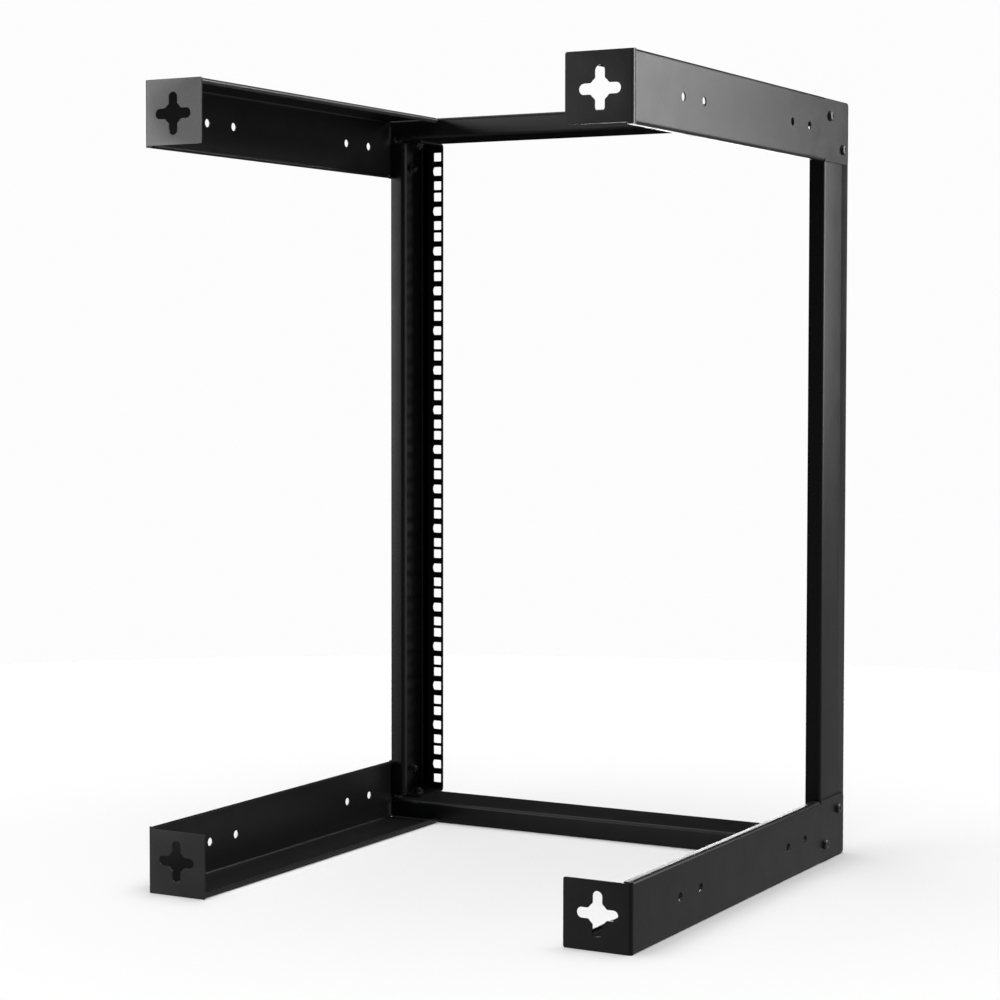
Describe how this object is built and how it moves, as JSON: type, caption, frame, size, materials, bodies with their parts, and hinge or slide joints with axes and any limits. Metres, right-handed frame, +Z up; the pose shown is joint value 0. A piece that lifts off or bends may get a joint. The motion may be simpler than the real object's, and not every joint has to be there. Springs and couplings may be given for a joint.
{
  "type": "wall mount open frame rack",
  "caption": "Open wall rack frame: lipped posts with square holes, joined by folded cross members and held off the wall by lipped arms with cross-shaped wall holes.",
  "frame": {"origin": "on the wall plane, at the centre of the four wall holes", "axes": "+Y from the wall to the rack's front, +Z up, X along the wall"},
  "size_m": [0.518, 0.508, 0.7704],
  "materials": {
    "powder_coat": "fine-textured satin black powder coat",
    "fastener_black": "black plated steel, a little glossier than the frame"
  },
  "bodies": {
    "root": {"bottom_cross_member": "powder_coat", "bottom_left_arm": "powder_coat", "bottom_left_arm_bolt_1": "fastener_black", "bottom_left_arm_bolt_2": "fastener_black", "bottom_left_arm_nut_1": "fastener_black", "bottom_left_arm_nut_2": "fastener_black", "bottom_left_beam_bolt": "fastener_black", "bottom_left_beam_nut": "fastener_black", "bottom_right_arm": "powder_coat", "bottom_right_arm_bolt_1": "fastener_black", "bottom_right_arm_bolt_2": "fastener_black", "bottom_right_arm_nut_1": "fastener_black", "bottom_right_arm_nut_2": "fastener_black", "bottom_right_beam_bolt": "fastener_black", "bottom_right_beam_nut": "fastener_black", "left_post": "powder_coat", "right_post": "powder_coat", "top_cross_member": "powder_coat", "top_left_arm": "powder_coat", "top_left_arm_bolt_1": "fastener_black", "top_left_arm_bolt_2": "fastener_black", "top_left_arm_nut_1": "fastener_black", "top_left_arm_nut_2": "fastener_black", "top_left_beam_bolt": "fastener_black", "top_left_beam_nut": "fastener_black", "top_right_arm": "powder_coat", "top_right_arm_bolt_1": "fastener_black", "top_right_arm_bolt_2": "fastener_black", "top_right_arm_nut_1": "fastener_black", "top_right_arm_nut_2": "fastener_black", "top_right_beam_bolt": "fastener_black", "top_right_beam_nut": "fastener_black"}
  },
  "joints": []
}
